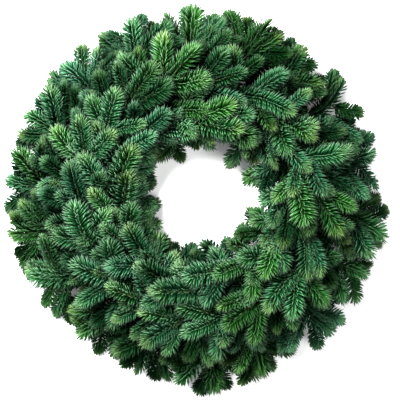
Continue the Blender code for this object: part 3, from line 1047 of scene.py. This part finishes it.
def small_shoots(main, upper, sides, family, looks):
    """The weak shoots between the strong ones: on the lower side shoots first, then further up."""
    leader = main.length - upper
    left_upper, left_lower, right_upper, right_lower = sides
    before_fork = upper - FORK_SPACING[1]
    spots = [
        (left_lower, left_lower.length * FORKS_ON_LOWER[0], 1.0),
        (right_lower, right_lower.length * FORKS_ON_LOWER[0], -1.0),
        (main, upper + leader * FORKS_ON_LEADER[0], 1.0),
        (main, upper + leader * FORKS_ON_LEADER[1], -1.0),
        (left_lower, left_lower.length * FORKS_ON_LOWER[1], -1.0),
        (right_lower, right_lower.length * FORKS_ON_LOWER[1], 1.0),
        (left_upper, left_upper.length * FORK_ON_UPPER, 1.0),
        (right_upper, right_upper.length * FORK_ON_UPPER, -1.0),
        (main, before_fork - FORKS_ON_STEM[0], 1.0),
        (main, before_fork - FORKS_ON_STEM[1], -1.0),
    ]
    made = []
    for path, fork, side in spots[:SMALL_SHOOTS[family["reach"]]]:
        start, direction = path.at(fork)
        heading = math.atan2(direction.y, direction.x)
        turned = side * math.radians(looks.uniform(*SMALL_TURN))
        made.append(side_path(start, heading, turned, looks.uniform(*SMALL_LENGTH)))
    return made


# Each spray is grown along its paths, laid into one mesh and set in its node's place.
PAINTED_SHADE_COLUMN, WIDE_COLUMN = 5, 6
for bundle in range(BUNDLES):
    for family_name, family in FAMILIES.items():
        node_name = f"{family_name}_spray_{bundle + 1:02d}"
        bundle_angle = 360.0 * bundle / BUNDLES
        spray_seed = SEED * 1000 + bundle * 10 + family["level"]
        main, upper, sides, shrink = spray_paths(family, bundle_angle, random.Random(spray_seed))
        looks = np.random.default_rng(spray_seed)
        reach = family["reach"]
        spray_tone = looks.uniform(*SPRAY_TONE)
        spray_gloom = SPRAY_PAINTED_SHADE * looks.uniform(0.0, 1.0) ** GLOOM_POWER
        weak = small_shoots(main, upper, sides, family, looks)
        # For each shoot: its path, from where it hangs free, and its first needle
        shoots = [(main, upper, upper - LEADER_NEEDLES_BACK)]
        shoots += [(path, 0.0, FIRST_NEEDLE) for path in sides + weak]
        back = TIP_BACK[reach] + REACH_SPREAD[reach] * looks.uniform(-1.0, 1.0)
        lengths = [path.length - back for path, _, _ in shoots]
        lengths[1:] = [length + SIDE_GROWTH[reach] for length in lengths[1:]]
        places = [needle_places(length, first) for length, (_, _, first) in zip(lengths, shoots)]
        old = needle_places(upper - OLD_TO, TAIL_LENGTH * OLD_FROM, OLD_SPACING)
        # The old needles lie under the other sprays: painted in deep shade, and wider
        old[:, PAINTED_SHADE_COLUMN] = np.maximum(old[:, PAINTED_SHADE_COLUMN], OLD_PAINTED_SHADE)
        old[:, WIDE_COLUMN] *= OLD_WIDTH
        places[0] = np.concatenate((old, places[0]))
        needle_cells = grid_cells(sum(len(place) for place in places), NEEDLE_BAND)
        twig_cells = grid_cells(len(shoots), TWIG_BAND)
        bud_cells = grid_cells(len(BUD_CLUSTER) * len(shoots), BUD_BAND)
        foliage = Foliage()
        used = 0
        for index, (path, free_from, _) in enumerate(shoots):
            small = index > len(sides)
            role = UPRIGHT if small and reach < 1 else SHOOT_ROLES[min(index, len(sides) + 1)]
            rise = looks.uniform(*role["rise"])
            size = looks.uniform(*role["size"])
            roll = looks.normal(0.0, SHOOT_ROLL)
            sway = looks.normal(0.0, SHOOT_SWAY)
            shoot = Shoot(path, lengths[index], family, bundle_angle, rise, free_from, roll, sway)
            tone = float(np.clip(spray_tone + looks.normal(0.0, SHOOT_TONE), 0.0, 1.0))
            freshness = FRESH_LEAST + FRESH_MORE * looks.uniform(0.0, 1.0) ** 2.0
            # Painted shade of this shoot: its kind's, its spray's and its own, drawn at random
            gloom = role["dark"] + spray_gloom + looks.uniform(*SHOOT_PAINTED_SHADE)
            radii, rings = (TWIG_RADIUS, TWIG_RINGS) if index else (MAIN_RADIUS, MAIN_RINGS)
            cells = needle_cells[used:used + len(places[index])]
            used += len(places[index])
            add_needles(
                foliage, shoot, places[index], looks, size, tone, freshness, gloom, cells, radii[1]
            )
            years = MAIN_AGE - min(index, 1)
            add_twig(foliage, shoot, radii, rings, twig_cells[index:index + 1], tone, years)
            buds = len(BUD_CLUSTER)
            add_buds(foliage, shoot, bud_cells[buds * index:buds * (index + 1)], looks, shrink)
        spray = foliage.to_object(node_name.replace("spray", "fir_spray"), (needle, bark, bud))
        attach(spray, "root")
        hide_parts(node_name)


# The studio: a white table top that curves up into a cove, lit by a large softbox from the upper
# left and a broad weak skylight from the lower right. The table glows faintly, and more so far
# from the wreath, so that low views end in white. The camera looks straight down.
COVE = ((6.0, 0.0), (8.5, 0.3), (11.0, 1.4), (13.0, 3.6), (14.0, 6.5), (14.3, 10.0))
COVE_SIDES = 64
FRAME_WIDTH = 0.6304
LENS_LENGTH = 100.0
SENSOR_WIDTH = 36.0
AIM = Vector((0.0042, -0.0010, 0.030))

table_top = new_material("white_table_top")
place = add_node(table_top, "TexCoord")
grain = add_node(
    table_top, "TexNoise", {"Vector": place.outputs["Object"]}, {"Scale": 30.0, "Detail": 2.0}
)
white = add_node(
    table_top, "Mix", {FACTOR: grain.outputs["Fac"]},
    {FIRST: linear("#F1F1F1"), SECOND: linear("#F4F4F4")}, data_type="RGBA",
)
away = add_node(table_top, "VectorMath", {"Vector": place.outputs["Object"]}, operation="LENGTH")
glow = add_node(
    table_top, "MapRange", {"Value": away.outputs["Value"]},
    {"From Min": 1.5, "From Max": 4.0, "To Min": 0.12, "To Max": 0.50},
)
finish_material(table_top, add_node(
    table_top, "BsdfPrincipled",
    {"Base Color": white.outputs[RESULT], "Emission Strength": glow.outputs["Result"]},
    {"Roughness": 0.8, "IOR": 1.3, "Emission Color": linear("#FFFFFF")},
))
corners = []
for radius, height in COVE:
    for index in range(COVE_SIDES):
        angle = math.tau * index / COVE_SIDES
        corners.append((radius * math.cos(angle), radius * math.sin(angle), height))
walls = []
for level in range(len(COVE) - 1):
    for index in range(COVE_SIDES):
        here = level * COVE_SIDES + index
        beside = level * COVE_SIDES + (index + 1) % COVE_SIDES
        walls.append((here + COVE_SIDES, beside + COVE_SIDES, beside, here))
mesh = bpy.data.meshes.new("table_top")
mesh.from_pydata(corners, [], [tuple(range(COVE_SIDES)), *walls])
mesh.materials.append(table_top)
floor = put_in_scene("table_top", mesh)

world = bpy.data.worlds.new("pale_room")
world.use_nodes = True
background = world.node_tree.nodes["Background"]
background.inputs["Color"].default_value = linear("#FFFFFF")
background.inputs["Strength"].default_value = 0.02
bpy.context.scene.world = world


def hang_light(lamp, location):
    """Hangs a lamp in place, aimed at the wreath."""
    light = put_in_scene(lamp.name, lamp)
    light.location = location
    light.rotation_mode = "QUATERNION"
    light.rotation_quaternion = (-light.location).to_track_quat("-Z", "Y")


softbox = bpy.data.lights.new("softbox", "AREA")
softbox.shape = "SQUARE"
softbox.size = 1.6
softbox.energy = 338.0
hang_light(softbox, (-1.15, 1.25, 1.95))

skylight = bpy.data.lights.new("skylight", "SUN")
skylight.angle = math.radians(40.0)
skylight.energy = 2.85
hang_light(skylight, (1.3, -1.2, 1.7))

lens = bpy.data.cameras.new("camera")
lens.lens = LENS_LENGTH
lens.sensor_width = SENSOR_WIDTH
lens.clip_end = 20.0
camera = put_in_scene("camera", lens)
camera.location = AIM + Vector((0.0, 0.0, FRAME_WIDTH * LENS_LENGTH / SENSOR_WIDTH))
bpy.context.scene.camera = camera
bpy.context.scene.view_settings.view_transform = "Standard"
bpy.context.scene.view_settings.look = "Medium High Contrast"
